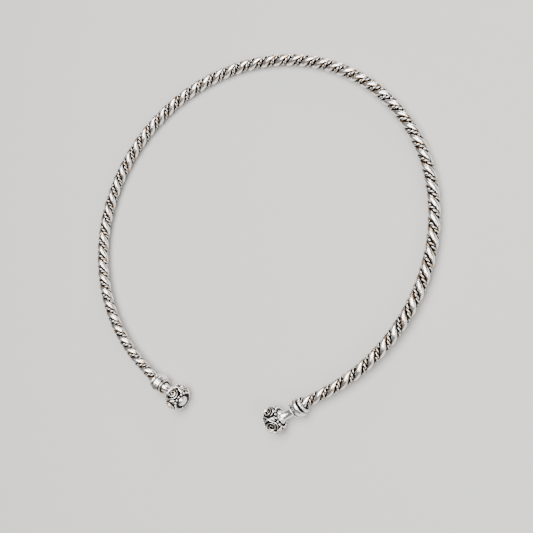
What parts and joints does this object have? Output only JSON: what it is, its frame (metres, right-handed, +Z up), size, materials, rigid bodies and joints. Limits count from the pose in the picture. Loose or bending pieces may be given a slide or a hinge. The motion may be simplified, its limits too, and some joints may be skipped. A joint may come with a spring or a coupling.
{
  "type": "torc",
  "caption": "Open neck ring of twisted silver-coloured wires with fine cords laid in the grooves, and cast collared knobs with running scrolls and granulation at its ends.",
  "frame": {"origin": "on the ground under the middle of the outline, with the torc lying flat", "axes": "+X towards the right terminal seen from above with the opening at the front, +Y to the back of the hoop, +Z up"},
  "size_m": [0.1444, 0.1386, 0.009],
  "materials": {
    "wire_metal": "polished silver-coloured metal, dark in the recesses",
    "cord_metal": "silver-coloured metal, polished on top and blackened between the turns",
    "cast_metal": "polished silver-coloured casting, blackened in the recesses of its ornament"
  },
  "bodies": {
    "root": {"thick_wire_1": "wire_metal", "thick_wire_2": "wire_metal", "fine_cord_1": "cord_metal", "fine_cord_2": "cord_metal", "left_terminal": "cast_metal", "right_terminal": "cast_metal"}
  },
  "joints": []
}
